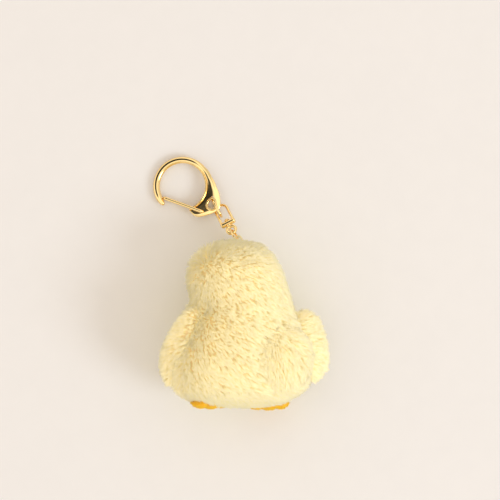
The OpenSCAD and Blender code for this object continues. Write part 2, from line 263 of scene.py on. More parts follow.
PLUSH = pile_material("pale_yellow_pile", (1.0, 0.83, 0.41), (1.0, 0.94, 0.63), 0.34)
# The backing cloth's own yellow, deepened as painted shade between the tufts.
BACKING = cloth_material(
    "pile_backing", (1.0, 0.82, 0.44), (1.0, 0.88, 0.53), 1400, Roughness=0.95
)
FELT = cloth_material(
    "orange_felt", (0.93, 0.50, 0.02), (1.0, 0.64, 0.04), 1500, Roughness=0.9, Sheen_Weight=0.3
)
# The nap's darker root is painted shade as well.
FELT_NAP = pile_material("orange_nap", (0.93, 0.48, 0.02), (1.0, 0.66, 0.05), 0.2)
FIBRE = cloth_material("filling_fibre", (0.8, 0.8, 0.78), (0.95, 0.95, 0.93), 800, Roughness=0.95)
CORD = cloth_material("loop_cord", (0.86, 0.76, 0.42), (0.97, 0.91, 0.62), 2500, Roughness=0.85)
GOLD = metal_material("polished_gold", (0.98, 0.70, 0.30), 0.05, 0.13)
BLACK = cloth_material(
    "eye_plastic", (0.004, 0.004, 0.004), (0.012, 0.011, 0.010), 300, 0.02,
    Roughness=0.08, Coat_Weight=0.5,
)
WHITE = cloth_material("washer_plastic", (0.8, 0.8, 0.78), (0.88, 0.88, 0.86), 500, 0.1, Roughness=0.5)


def wear(thing, *materials):
    """Gives a piece its materials in place of what it had."""
    thing.data.materials.clear()
    for material in materials:
        thing.data.materials.append(material)


# ---------------------------------------------------------------- the skins

# Stations along the chick, from its base to its head: the place on Y, then where the skin
# reaches on the left, on the right, below and on top.
STATIONS = np.array(
    [
        [-31.4, -15.0, 16.0, 9.0, 29.0],
        [-28.5, -23.5, 22.5, 4.0, 36.5],
        [-24.8, -28.6, 27.6, 0.8, 40.6],
        [-17.3, -30.6, 29.0, -2.0, 43.4],
        [-13.5, -30.3, 28.8, -2.4, 43.9],
        [-9.0, -29.0, 28.2, -2.4, 43.8],
        [-3.2, -26.8, 26.8, -2.0, 43.0],
        [3.0, -24.3, 24.8, -0.4, 41.6],
        [8.6, -21.6, 22.6, 1.6, 39.6],
        [13.5, -20.0, 20.6, 3.0, 38.4],
        [17.6, -20.7, 19.6, 3.8, 38.2],
        [22.5, -21.8, 18.2, 4.2, 38.0],
        [28.8, -20.8, 15.6, 5.2, 36.2],
        [33.0, -17.6, 12.8, 7.4, 33.0],
        [36.6, -13.2, 9.0, 10.5, 28.5],
    ]
)
SKIN_LOW, SKIN_TOP = -32.6, 38.9
FLOOR_GAP = 0.9  # the skin stays this far off the ground, where the pile is pressed flat
SECTION_POWER = 0.87


def ring_at(y, opposite, column):
    """Where the skin reaches at y: a line through the stations, drawn to the middle at its ends."""
    first = 0.5 * (STATIONS[0, column] + STATIONS[0, opposite])
    last = 0.5 * (STATIONS[-1, column] + STATIONS[-1, opposite])
    ys = np.concatenate([[SKIN_LOW], STATIONS[:, 0], [SKIN_TOP]])
    values = np.concatenate([[first], STATIONS[:, column], [last]])
    return np.interp(y, ys, values)


def skin_points(turn, side):
    """Points on the body's skin: turn runs from the head's top to the base, side runs round it."""
    y = 0.5 * (SKIN_TOP + SKIN_LOW) + 0.5 * (SKIN_TOP - SKIN_LOW) * np.cos(turn)
    left, right = ring_at(y, 2, 1), ring_at(y, 1, 2)
    low, top = ring_at(y, 4, 3), ring_at(y, 3, 4)
    x = 0.5 * (left + right) + 0.5 * (right - left) * power(np.cos(side), SECTION_POWER)
    z = 0.5 * (low + top) + 0.5 * (top - low) * power(np.sin(side), SECTION_POWER)
    return np.stack([x, y, z], -1)


def coords(mesh):
    flat = np.empty(len(mesh.vertices) * 3)
    mesh.vertices.foreach_get("co", flat)
    return flat.reshape(-1, 3)


def set_coords(mesh, points):
    mesh.vertices.foreach_set("co", np.asarray(points, float).ravel())
    mesh.update()


def only(thing):
    """Makes this the one selected object, as the operators need."""
    bpy.ops.object.select_all(action="DESELECT")
    thing.select_set(True)
    bpy.context.view_layer.objects.active = thing


def apply_all(thing):
    only(thing)
    for modifier in list(thing.modifiers):
        bpy.ops.object.modifier_apply(modifier=modifier.name)


def face_outwards(thing):
    """Turns every face of a closed mesh outwards."""
    only(thing)
    bpy.ops.object.mode_set(mode="EDIT")
    bpy.ops.mesh.select_all(action="SELECT")
    bpy.ops.mesh.normals_make_consistent(inside=False)
    bpy.ops.object.mode_set(mode="OBJECT")


def copy_of(thing, name):
    made = thing.copy()
    made.data = thing.data.copy()
    made.name = made.data.name = name
    bpy.context.scene.collection.objects.link(made)
    return made


SIM_SCALE = 10.0  # cloth is simulated ten times as large, where Blender's settings suit it
SIM_STEPS = 20


def puff(thing, held, pressure, cap):
    """Cloth simulation: the filling pushes the skin out, except where its seams hold it. No point
    moves further than cap, in millimetres."""
    start = coords(thing.data)
    set_coords(thing.data, start * SIM_SCALE)
    group = thing.vertex_groups.new(name="seams")
    for index in np.nonzero(held > 0.02)[0]:
        group.add([int(index)], float(held[index]), "REPLACE")
    cloth = thing.modifiers.new("cloth", "CLOTH")
    settings = cloth.settings
    settings.quality, settings.mass = 6, 0.3
    settings.use_pressure, settings.uniform_pressure_force = True, pressure
    settings.tension_stiffness = settings.compression_stiffness = 12
    settings.bending_stiffness = 0.4
    settings.effector_weights.gravity = 0
    settings.vertex_group_mass = "seams"
    cloth.point_cache.frame_start, cloth.point_cache.frame_end = 1, SIM_STEPS
    scene = bpy.context.scene
    for frame_number in range(1, SIM_STEPS + 1):
        scene.frame_set(frame_number)
    graph = bpy.context.evaluated_depsgraph_get()
    moved = coords(thing.evaluated_get(graph).data) / SIM_SCALE
    thing.modifiers.remove(cloth)
    thing.vertex_groups.clear()
    scene.frame_set(1)
    step = moved - start
    far = np.linalg.norm(step, axis=1, keepdims=True)
    step *= np.minimum(1, cap * MM / np.maximum(far, 1e-9))
    set_coords(thing.data, start + step)


def vertex_normals(mesh):
    flat = np.empty(len(mesh.vertices) * 3)
    mesh.vertex_normals.foreach_get("vector", flat)
    return flat.reshape(-1, 3)


def stuffed(segments, rings, shape, held, pressure=4.0, cap=1.2, finish=None):
    """A stuffed skin: a ball whose points are moved to their places on the piece, then puffed.
    Gives the skin, and where each of its points was on the ball."""
    bpy.ops.mesh.primitive_uv_sphere_add(segments=segments, ring_count=rings, radius=1)
    skin = bpy.context.object
    ball = coords(skin.data)
    set_coords(skin.data, place(shape(ball)))
    face_outwards(skin)
    puff(skin, held(ball), pressure, cap)
    if finish:
        points = finish(unplace(coords(skin.data)), vertex_normals(skin.data))
        set_coords(skin.data, place(points))
    return skin, ball


def cut_out(skin, ball, name, keep):
    """A copy of the faces of a skin whose middles on the ball keep chooses."""
    piece = copy_of(skin, name)
    shell = bmesh.new()
    shell.from_mesh(piece.data)
    middles = np.array([ball[[v.index for v in face.verts]].mean(axis=0) for face in shell.faces])
    drop = ~keep(middles)
    gone = [face for face, dropped in zip(shell.faces, drop) if dropped]
    bmesh.ops.delete(shell, geom=gone, context="FACES")
    shell.to_mesh(piece.data)
    shell.free()
    return piece


def refine(piece):
    finer = piece.modifiers.new("finer", "SUBSURF")
    finer.levels = finer.render_levels = 1
    apply_all(piece)


def thicken(piece, thickness):
    """Gives a cut-out its cloth thickness, inwards."""
    wall = piece.modifiers.new("wall", "SOLIDIFY")
    wall.thickness, wall.offset = thickness * MM, -1
    apply_all(piece)


def fill_with_fibre(skin, name, body, replaced, inset):
    """The filling: the skin's own shape, kept inside it by inset millimetres."""
    core = copy_of(skin, name)
    points = unplace(coords(core.data)) - inset * vertex_normals(core.data)
    set_coords(core.data, place(points))
    wear(core, FIBRE)
    ride_as(core, body, replaced)


def ride_as(piece, body, replaced):
    """Parents a piece to the body it moves with, and hides the CAD nodes it stands for."""
    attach(piece, body)
    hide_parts(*replaced)


# ---------------------------------------------------------------- the pile


def triangles(mesh):
    mesh.calc_loop_triangles()
    flat = np.empty(len(mesh.loop_triangles) * 3, np.int32)
    mesh.loop_triangles.foreach_get("vertices", flat)
    return flat.reshape(-1, 3)


def scatter(mesh, per_mm2, seed):
    """Seeded random points on a mesh, in millimetres, with the smooth normal at each."""
    chance = np.random.default_rng(seed)
    points, faces = unplace(coords(mesh)), triangles(mesh)
    normals = vertex_normals(mesh)
    a, b, c = points[faces[:, 0]], points[faces[:, 1]], points[faces[:, 2]]
    area = 0.5 * np.linalg.norm(np.cross(b - a, c - a), axis=1)
    count = int(area.sum() * per_mm2)
    chosen = chance.choice(len(faces), count, p=area / area.sum())
    u, v = chance.random(count), chance.random(count)
    over = u + v > 1
    u[over], v[over] = 1 - u[over], 1 - v[over]
    w = 1 - u - v
    spot = a[chosen] * w[:, None] + b[chosen] * u[:, None] + c[chosen] * v[:, None]
    mixed = [normals[faces[chosen, k]] for k in range(3)]
    normal = mixed[0] * w[:, None] + mixed[1] * u[:, None] + mixed[2] * v[:, None]
    return spot, unit(normal), chance


PILE_LENGTH = 3.5
TUFTS_PER_CLUMP = 6
SIDES = 3
SOFTNESS = 0.52  # how far a tuft's shading follows the skin under it, and not its own shape
ROOT_DEPTH = 0.3  # how far a tuft starts under the skin
LOWEST = 0.06  # pile that meets the ground is laid flat at this height
LOOSENESS = 0.13


def tufts(spots, normals, flow, chance, length=PILE_LENGTH, width=0.16, spread=0.5, lean=1.0):
    """Clumps of bent, tapered tufts. Each clump's roots are spread and its tips drawn together.
    Gives the points, the faces, the shading normals, each point's place along its tuft, and
    the tuft's tone."""
    clumps = len(spots)
    flow = flow - normals * np.sum(flow * normals, axis=1, keepdims=True)
    across = unit(np.cross(normals, flow + 1e-4))
    ahead = np.cross(across, normals)
    strong = np.minimum(np.linalg.norm(flow, axis=1), 1.1)
    n = clumps * TUFTS_PER_CLUMP
    owner = np.repeat(np.arange(clumps), TUFTS_PER_CLUMP)
    normal, side, front = normals[owner], across[owner], ahead[owner]
    angle = chance.random(n) * 2 * math.pi
    radius = spread * np.sqrt(chance.random(n))
    root = (
        spots[owner]
        + side * (radius * np.cos(angle))[:, None]
        + front * (radius * np.sin(angle))[:, None]
        - normal * ROOT_DEPTH
    )
    clump_long = length * (0.8 + 0.4 * chance.random(clumps))
    clump_lean = lean * strong * (0.8 + 0.4 * chance.random(clumps))
    clump_turn = 0.5 * (chance.random(clumps) - 0.5)
    long = clump_long[owner] * (0.85 + 0.25 * chance.random(n))
    leaning = clump_lean[owner][:, None]
    turned = clump_turn[owner][:, None]
    loose = LOOSENESS * chance.standard_normal((n, 3))
    gather = (spots[owner] - root) * 0.6
    stem = unit(normal + front * leaning * 0.6 + side * turned * 0.5)
    tip_way = unit(normal * 0.65 + front * leaning * 1.3 + side * turned)
    middle = root + stem * (long * 0.5)[:, None] + gather * 0.45 + loose * 0.4
    tip = middle + tip_way * (long * 0.55)[:, None] + gather * 0.4 + loose
    points, shading = tuft_points(root, middle, tip, normal, side, tip_way, width)
    along = np.tile([0.0] * SIDES + [0.5] * SIDES + [1.0], n)
    tone = np.repeat(0.6 * chance.random(clumps)[owner] + 0.4 * chance.random(n), 2 * SIDES + 1)
    return points, tuft_faces(n), shading, along, tone


def tuft_points(root, middle, tip, normal, side, tip_way, width):
    """A ring of points at each tuft's root and one at its middle, then its tip, and the shading
    normal of each."""
    first = unit(np.cross(tip - root, normal + 0.3 * side))
    second = unit(np.cross(tip - root, first))
    points, shading = [], []
    for where, size in ((root, 1.0), (middle, 0.85)):
        for k in range(SIDES):
            t = 2 * math.pi * k / SIDES
            out = first * math.cos(t) + second * math.sin(t)
            points.append(where + width * size * out)
            shading.append(unit(SOFTNESS * normal + (1 - SOFTNESS) * out))
    points.append(tip)
    shading.append(unit(SOFTNESS * normal + (1 - SOFTNESS) * tip_way))
    points = np.stack(points, axis=1)
    points[..., 2] = np.maximum(points[..., 2], LOWEST)
    return points.reshape(-1, 3), np.stack(shading, axis=1).reshape(-1, 3)


def tuft_faces(count):
    """The triangles of every tuft: a wall from its root to its middle, and a point above."""
    pattern = []
    for k in range(SIDES):
        j = (k + 1) % SIDES
        pattern += [(k, j, SIDES + j), (k, SIDES + j, SIDES + k), (SIDES + k, SIDES + j, 2 * SIDES)]
    first = np.arange(count) * (2 * SIDES + 1)
    return (np.array(pattern)[None] + first[:, None, None]).reshape(-1, 3)


def add_pile(skin, made, materials):
    """Joins the tufts to their skin as one mesh, with the attributes their material reads."""
    points, faces, shading, along, tone = made
    base = unplace(coords(skin.data))
    base_faces = triangles(skin.data)
    base_normals = vertex_normals(skin.data)
    everything = np.vstack([base, points])
    joined = np.vstack([base_faces, faces + len(base)])
    mesh = bpy.data.meshes.new(skin.name)
    mesh.vertices.add(len(everything))
    mesh.vertices.foreach_set("co", place(everything).ravel())
    mesh.loops.add(len(joined) * 3)
    mesh.loops.foreach_set("vertex_index", joined.ravel().astype(np.int32))
    mesh.polygons.add(len(joined))
    mesh.polygons.foreach_set("loop_start", np.arange(0, len(joined) * 3, 3, dtype=np.int32))
    mesh.polygons.foreach_set("loop_total", np.full(len(joined), 3, np.int32))
    index = np.zeros(len(joined), np.int32)
    index[len(base_faces):] = 1
    mesh.materials.append(materials[0])
    mesh.materials.append(materials[1])
    mesh.polygons.foreach_set("material_index", index)
    mesh.polygons.foreach_set("use_smooth", np.ones(len(joined), bool))
    mesh.update(calc_edges=True)
    for name, values in (("along", along), ("tone", tone)):
        attribute = mesh.attributes.new(name, "FLOAT", "POINT")
        full = np.concatenate([np.zeros(len(base)), values]).astype(np.float32)
        attribute.data.foreach_set("value", full)
    mesh.normals_split_custom_set_from_vertices(np.vstack([base_normals, shading]))
    skin.data = mesh


CLOTH_THICKNESS = 0.6
FELT_THICKNESS = 0.5
NAP_CLUMPS = 2.6


def plush_cover(skin, ball, name, keep, flow, clumps, seed, body, replaced, fill, **shape):
    """One plush cover: its cut-out of the skin, with the pile sewn through it."""
    piece = cut_out(skin, ball, name, keep)
    refine(piece)
    spots, normals, chance = scatter(piece.data, clumps, seed)
    made = tufts(spots, normals, flow(spots), chance, **shape)
    thicken(piece, CLOTH_THICKNESS)
    add_pile(piece, made, (BACKING, PLUSH))
    piece.data.name = name
    ride_as(piece, body, replaced)


def felt_cover(skin, ball, name, keep, flow, seed, replaced, fill, **shape):
    """One half of a felt piece: its cut-out of the skin, with a short nap on it."""
    piece = cut_out(skin, ball, name, keep)
    refine(piece)
    spots, normals, chance = scatter(piece.data, NAP_CLUMPS, seed)
    made = tufts(spots, normals, np.tile(flow, (len(spots), 1)), chance, **shape)
    thicken(piece, FELT_THICKNESS)
    add_pile(piece, made, (FELT, FELT_NAP))
    ride_as(piece, "plush", replaced)


# ---------------------------------------------------------------- the body

BODY_SEGMENTS, BODY_RINGS = 72, 48
ROLL = math.radians(25)
BASE_TURN = math.pi * 38 / BODY_RINGS  # the base seam runs along a ring of the skin

# Where the covers are drawn in: beside the left wing, in two deep pits there, and at the neck.
WING_CREASE = [(-15.5, 13, 36), (-19, 5, 38), (-22.6, -1, 38), (-27.5, -10, 34), (-30, -19, 28)]
WING_PITS = [(-16.4, 10.3, 36.5), (-23.2, -1.3, 37.5)]
NECK_CREASE = [(23.5, 9, 22), (21, 9.5, 30), (14, 9, 36)]


def close_to_line(points, line):
    """How far each point is from a line of straight stretches, in millimetres."""
    best = np.full(len(points), 1e9)
    for a, b in zip(line[:-1], line[1:]):
        a, b = np.asarray(a, float), np.asarray(b, float)
        along = np.clip(((points - a) @ (b - a)) / ((b - a) @ (b - a)), 0, 1)
        gap = np.linalg.norm(points - (a + along[:, None] * (b - a)), axis=1)
        best = np.minimum(best, gap)
    return best


def ball_angles(ball):
    """Turn and side on the ball, with the side measured from the right-hand seam."""
    turn = np.arccos(np.clip(ball[:, 2] / np.linalg.norm(ball, axis=1), -1, 1))
    return turn, np.mod(np.arctan2(ball[:, 1], ball[:, 0]), 2 * math.pi)


def body_shape(ball):
    turn, side = ball_angles(ball)
    return skin_points(turn, side - ROLL)


def body_held(ball):
    turn, side = ball_angles(ball)
    from_seam = np.abs(np.mod(side + math.pi / 2, math.pi) - math.pi / 2)
    near_side = from_seam * 25 * np.sin(turn)
    near_base = np.abs(turn - BASE_TURN) * 30
    return np.clip(1.6 - np.minimum(near_side, near_base) / 2, 0, 1)


def body_finish(points, normals):
    """Pulls the skin in along its creases and pits, and rests it on the ground."""
    depth = 1.3 * np.exp(-((close_to_line(points, WING_CREASE) / 2.6) ** 2))
    for pit in WING_PITS:
        depth += 2.6 * np.exp(-((np.linalg.norm(points - np.array(pit), axis=1) / 2.8) ** 2))
    depth += 0.7 * np.exp(-((close_to_line(points, NECK_CREASE) / 4) ** 2))
    points = points - normals * depth[:, None]
    points[:, 2] = np.maximum(points[:, 2], FLOOR_GAP)
    return points


def body_flow(points):
    """Which way the pile lies: down and to the right on the back, straight down at the right of
    the neck, more level near the base, and outwards at the far left."""
    x, y = points[:, 0], points[:, 1]
    flow = np.stack([np.full_like(x, 0.75), np.full_like(x, -0.7), np.full_like(x, -0.1)], -1)
    up_right = np.clip((x - 2) / 16, 0, 1) * np.clip((y + 4) / 18, 0, 1)
    flow += up_right[:, None] * np.array([-0.5, -0.2, -0.2])
    low = np.clip((-12 - y) / 12, 0, 1)
    flow += low[:, None] * np.array([0.3, 0.35, -0.1])
    left = np.clip((-21 - x) / 8, 0, 1)
    flow += left[:, None] * np.array([-1.2, 0.2, -0.4])
    return flow


def body_pieces():
    skin, ball = stuffed(BODY_SEGMENTS, BODY_RINGS, body_shape, body_held, finish=body_finish)

    def back(middles):
        turn, side = ball_angles(middles)
        return (turn < BASE_TURN) & (side < math.pi)

    def front(middles):
        turn, side = ball_angles(middles)
        return (turn < BASE_TURN) & (side > math.pi)

    def base(middles):
        return ball_angles(middles)[0] > BASE_TURN

    fill_with_fibre(skin, "body_filling", "plush", ["filling"], 1.2)
    for name, keep, clumps, seed, node_name in (
        ("back_cover", back, 1.65, 11, "back_panel"),
        ("front_cover", front, 1.0, 12, "front_panel"),
        ("base_cover", base, 1.65, 13, "base_panel"),
    ):
        plush_cover(skin, ball, name, keep, body_flow, clumps, seed, "plush", [node_name], 0.8)
    bpy.data.objects.remove(skin)


# ---------------------------------------------------------------- wings

# A wing's mid line at its root and at its free edge, from its lower end to its upper end.
LEFT_ROOT = [
    (-28.5, -22.5, 26), (-25.5, -14, 32), (-22.8, -7, 34.8), (-20.4, -0.5, 36), (-18.6, 5.5, 35.2),
    (-18, 9.5, 34),
]
LEFT_EDGE = [
    (-30.5, -23, 24), (-33.2, -16.5, 23.5), (-32.2, -9.5, 25), (-29.4, -2.5, 27.5), (-24.8, 5, 30.5),
    (-20.4, 9, 33),
]
RIGHT_ROOT = [
    (29, -22, 17), (28.5, -17, 21), (27.5, -10, 23), (26, -3, 24), (24.5, 4, 23), (24, 6.5, 21),
]
RIGHT_EDGE = [
    (31.5, -22.5, 14), (36.9, -16, 10.5), (36.3, -9.5, 10), (35, -2.5, 10.5), (32.5, 4.5, 12.5),
    (28.5, 7.8, 17),
]
WING_HALF = 2.9


def wing_shape(root, edge, outward):
    """Lays a flattened ball on the patch between a wing's root line and its free edge."""
    root, edge = np.array(root, float), np.array(edge, float)
    stations = np.linspace(-1, 1, len(root))

    def shape(ball):
        across, up, along = ball[:, 0], ball[:, 2], ball[:, 1]
        round_half = np.sqrt(np.maximum(1 - along**2, 1e-6))
        t = 0.5 * (np.clip(across / round_half, -1, 1) + 1)
        a = np.stack([np.interp(along, stations, root[:, k]) for k in range(3)], -1)
        b = np.stack([np.interp(along, stations, edge[:, k]) for k in range(3)], -1)
        way = unit(np.cross(b - a, [0.0, 1.0, 0.0])) * outward
        bow = (1.6 * np.sin(math.pi * t))[:, None] * way
        thick = (WING_HALF * power(up, 0.85))[:, None] * way
        return a + (b - a) * t[:, None] + bow + thick

    return shape


def rim_held(ball):
    return np.clip(1.2 - np.abs(ball[:, 2]) * 5, 0, 1)


def wing_pieces(side, root, edge, outward, flow_way, seed):
    skin, ball = stuffed(48, 24, wing_shape(root, edge, outward), rim_held, cap=0.9)

    def flow(points):
        lower = np.clip((-8 - points[:, 1]) / 14, -0.6, 1)
        return np.array(flow_way) + lower[:, None] * np.array([0.0, -0.5, 0.0])

    body = f"{side}_wing"
    fill_with_fibre(skin, f"{side}_wing_stuffing", body, [f"{side}_wing_filling"], 0.9)
    for part, keep, clumps in (
        ("outer", lambda middles: middles[:, 2] > 0, 1.7),
        ("inner", lambda middles: middles[:, 2] < 0, 1.0),
    ):
        name = f"{side}_wing_{part}_cover"
        replaced = [f"{side}_wing_{part}"]
        seed += 1
        plush_cover(skin, ball, name, keep, flow, clumps, seed, body, replaced, 0.6, length=3.3)
    bpy.data.objects.remove(skin)


# ---------------------------------------------------------------- tail

TAIL_MIDDLE = np.array([19.0, -11.8, 33.6])
TAIL_OUT = unit(np.array([0.56, 0.0, 0.83]))
TAIL_ACROSS = np.array([TAIL_OUT[2], 0.0, -TAIL_OUT[0]])
TAIL_SIZE = (13.2, 13.2, 7.6)
TAIL_WHORL = np.array([15.0, 0.5, 40.0])


def tail_shape(ball):
    across = ball[:, 0:1] * TAIL_ACROSS * TAIL_SIZE[0]
    along = ball[:, 1:2] * np.array([0.0, 1.0, 0.0]) * TAIL_SIZE[1]
    out = ball[:, 2:3] * TAIL_OUT * TAIL_SIZE[2]
    return TAIL_MIDDLE + across + along + out


def tail_held(ball):
    seam = np.clip(1.2 - np.abs(ball[:, 0]) * 6, 0, 1)
    return np.maximum(seam, np.clip(-ball[:, 2] * 3, 0, 1))


def tail_flow(points):
    """The pile turns outwards from a whorl."""
    away = points - TAIL_WHORL
    swirl = np.cross(away, TAIL_OUT)
    return unit(away) * 0.8 + unit(swirl) * 0.2 + np.array([0.25, -0.3, 0.0])


def tail_pieces():
    skin, ball = stuffed(40, 24, tail_shape, tail_held, cap=0.9)
    fill_with_fibre(skin, "tail_stuffing", "plush", ["tail_filling"], 0.9)
    for name, keep, seed, node_name in (
        ("tail_upper_cover", lambda m: (m[:, 0] < 0) & (m[:, 2] > -0.45), 41, "tail_upper"),
        ("tail_lower_cover", lambda m: (m[:, 0] > 0) & (m[:, 2] > -0.45), 42, "tail_lower"),
    ):
        plush_cover(skin, ball, name, keep, tail_flow, 1.65, seed, "plush", [node_name], 0.7)
    bpy.data.objects.remove(skin)


# ---------------------------------------------------------------- feet

FOOT_ACROSS = np.array([math.cos(ROLL), 0.0, -math.sin(ROLL)])
FOOT_ALONG = np.array([-math.sin(ROLL), 0.0, -math.cos(ROLL)])  # towards the toes
FOOT_LONG, FOOT_THICK = 6.0, 2.1
FOOT_FLOW = np.array([0.2, -0.9, 0.1])
TOE_NOTCH = 0.62


def foot_shape(middle, half_width):
    """A pad with three toes side by side: its thickness and its ends dip between the toes."""

    def shape(ball):
        across, along, up = ball[:, 0], ball[:, 1], ball[:, 2]
        dip = 1 - TOE_NOTCH * (1 - np.abs(np.sin(1.5 * math.pi * across + 0.5 * math.pi))) ** 1.5
        a = FOOT_ACROSS * (half_width * across)[:, None]
        b = FOOT_ALONG * (FOOT_LONG * along * dip)[:, None]
        c = np.array([0.0, -1.0, 0.0]) * (FOOT_THICK * power(up, 0.8) * dip)[:, None]
        return np.array(middle) + a + b + c

    return shape


def foot_pieces(side, middle, half_width, seed):
    skin, ball = stuffed(60, 24, foot_shape(middle, half_width), rim_held, cap=0.5)
    fill_with_fibre(skin, f"{side}_foot_stuffing", "plush", [f"{side}_foot_filling"], 0.5)
    for part, keep, part_seed in (
        ("sole", lambda middles: middles[:, 2] > 0, seed + 4),
        ("top", lambda middles: middles[:, 2] < 0, seed + 3),
    ):
        felt_cover(
            skin, ball, f"{side}_foot_{part}_felt", keep, FOOT_FLOW, part_seed,
            [f"{side}_foot_{part}"], 0.5, length=1.1, width=0.13,
        )
    bpy.data.objects.remove(skin)


# ---------------------------------------------------------------- beak

FACE_TURN, FACE_SIDE = math.radians(69), math.radians(245)
BEAK_HALF = (4.0, 2.9, 4.2)


def on_skin(turn, side):
    return skin_points(np.array([turn]), np.array([side]))[0]


def face_frame():
    """The face's middle, and the ways across, along and out of it."""
    step = 0.03
    across = on_skin(FACE_TURN, FACE_SIDE + step) - on_skin(FACE_TURN, FACE_SIDE - step)
    along = on_skin(FACE_TURN + step, FACE_SIDE) - on_skin(FACE_TURN - step, FACE_SIDE)
    out = unit(np.cross(across, along))
    if out[2] > 0:
        out = -out
    return on_skin(FACE_TURN, FACE_SIDE), unit(across), unit(np.cross(out, unit(across))), out


def beak_pieces():
    middle, across, along, out = face_frame()

    def shape(ball):
        taper = 1 - 0.35 * np.maximum(ball[:, 2], 0)
        wide = (BEAK_HALF[0] * ball[:, 0] * taper)[:, None] * across
        high = (BEAK_HALF[1] * ball[:, 1] * taper)[:, None] * along
        proud = (BEAK_HALF[2] * ball[:, 2] - 0.2)[:, None] * out
        return middle + wide + high + proud

    def mouth_held(ball):
        return np.clip(1.3 - np.abs(ball[:, 1]) * 7, 0, 1)

    def finish(points, _):
        points[:, 2] = np.maximum(points[:, 2], 0.5)
        return points

    skin, ball = stuffed(36, 20, shape, mouth_held, cap=0.5, finish=finish)
    for name, keep, seed, node_name in (
        ("beak_upper_felt", lambda m: m[:, 1] > 0, 61, "beak_upper"),
        ("beak_lower_felt", lambda m: m[:, 1] < 0, 62, "beak_lower"),
    ):
        felt_cover(
            skin, ball, name, keep, out, seed, [node_name], 0.6, length=0.7, width=0.1, spread=0.4
        )
    bpy.data.objects.remove(skin)


body_pieces()
wing_pieces("left", LEFT_ROOT, LEFT_EDGE, -1, (-0.8, -0.35, -0.4), 20)
wing_pieces("right", RIGHT_ROOT, RIGHT_EDGE, 1, (0.8, -0.15, -0.4), 30)
tail_pieces()
foot_pieces("left", (-13.4, -32.1, 22.4), 8.6, 50)
foot_pieces("right", (12.4, -33.2, 10.9), 10.0, 55)
beak_pieces()


# ---------------------------------------------------------------- the snap hook

HOOK_END = (-12.4, 58.5, 4.6)  # the middle of the hook's eye
HOOK_EYE = (13.7, -6.4)  # the same place about the middle of the hook's ring
HOOK_TILT = math.radians(6.1)
HOOK_WAY = math.atan2(-HOOK_EYE[1], -HOOK_EYE[0])
RING_INNER, RING_WIRE = 10.4, 3.0
NOSE_TURN, LUG_TURN, NECK_TURN = 225.5, -75.0, 60.0
NOSE_SLIM_FROM = 200.0
# The plate's outer edge about the ring's middle: turn in degrees, distance.
PLATE_EDGE = np.array(
    [
        (-75, 11.2), (-72.5, 13.2), (-68, 14.8), (-61.8, 15.9), (-50.7, 17.1), (-40.9, 18.6),
        (-33.6, 19.6), (-27, 19.4), (-15.1, 17.6), (-1.8, 15.55), (17.3, 13.95), (41, 13.45),
        (60, 13.4),
    ]
)
PLATE_HALF = 1.15
PIVOT = np.array([9.0, -11.6])
# The plate is thinner within this distance of the gate's pivot, where the gate's legs pass it.
POCKET, POCKET_EDGE, POCKET_HALF = 6.6, 1.6, 0.68
EYE_HOLE = [
    (15.2, -10.4), (13.2, -11.0), (11.3, -10.2), (10.8, -8.4), (11.8, -6.6), (13.9, -4.6), (15.4, -7.6),
]
EYE_BEAD, EYE_BEAD_LEVEL = 1.0, 0.75
RIM_BEAD, RIM_BEAD_LEVEL = 0.84, 0.85
RIM_BEAD_REACH = 10.78
SHARPEST = 40  # degrees: edges of cut metal that are sharper than this stay sharp


def on_hook(points):
    """Points about the middle of the hook's ring, as millimetres about the chick's middle."""
    turn = Matrix.Rotation(HOOK_WAY, 4, "Z") @ Matrix.Rotation(HOOK_TILT, 4, "Y")
    turn = turn @ Matrix.Rotation(-HOOK_WAY, 4, "Z")
    matrix = Matrix.Translation(HOOK_END) @ turn @ Matrix.Translation((-HOOK_EYE[0], -HOOK_EYE[1], 0))
    matrix = np.array(matrix)
    return np.asarray(points, float) @ matrix[:3, :3].T + matrix[:3, 3]


def smooth_step(low, high, x):
    t = np.clip((x - low) / (high - low), 0, 1)
    return t * t * (3 - 2 * t)


def hook_shape(ball):
    """A ball drawn out along the hook, from its nose round to its lug. The wire's round section
    opens into the plate, which dips towards its inner rim and slopes down to its outer edge."""
    turn = np.arccos(np.clip(ball[:, 2], -1, 1)) / math.pi
    side = np.arctan2(ball[:, 1], ball[:, 0])
    angle = NOSE_TURN + (LUG_TURN - NOSE_TURN) * turn
    outer = np.where(
        angle > NECK_TURN, RING_INNER + RING_WIRE, np.interp(angle, PLATE_EDGE[:, 0], PLATE_EDGE[:, 1])
    )
    plate = 1 - smooth_step(28, 66, angle)
    across = power(np.cos(side), 1 - 0.35 * plate)
    half = 0.5 * (outer - RING_INNER)
    slim = 1 - 0.28 * smooth_step(NOSE_SLIM_FROM, NOSE_TURN, angle)
    end = np.minimum(1, np.sqrt(np.clip(np.minimum(turn * 60, (1 - turn) * 34), 0, 1)))
    reach = 0.5 * (outer + RING_INNER) + half * across * slim * end
    u = 0.5 * (across + 1)
    wire_z = 0.5 * RING_WIRE * np.sin(side) * slim
    slope = 1 - 0.6 * smooth_step(0.5, 1.0, u)
    dip = 1 - 0.5 * (1 - smooth_step(0.0, 0.6, u))
    plate_z = PLATE_HALF * power(np.sin(side), 0.45) * slope * dip
    z = (wire_z * (1 - plate) + plate_z * plate) * end
    angle = np.radians(angle)
    x, y = reach * np.cos(angle), reach * np.sin(angle)
    from_pivot = np.hypot(x - PIVOT[0], y - PIVOT[1])
    near_pivot = 1 - smooth_step(POCKET - POCKET_EDGE, POCKET, from_pivot)
    z = z * (1 - near_pivot) + np.clip(z, -POCKET_HALF, POCKET_HALF) * near_pivot
    return on_hook(np.stack([x, y, z], -1))


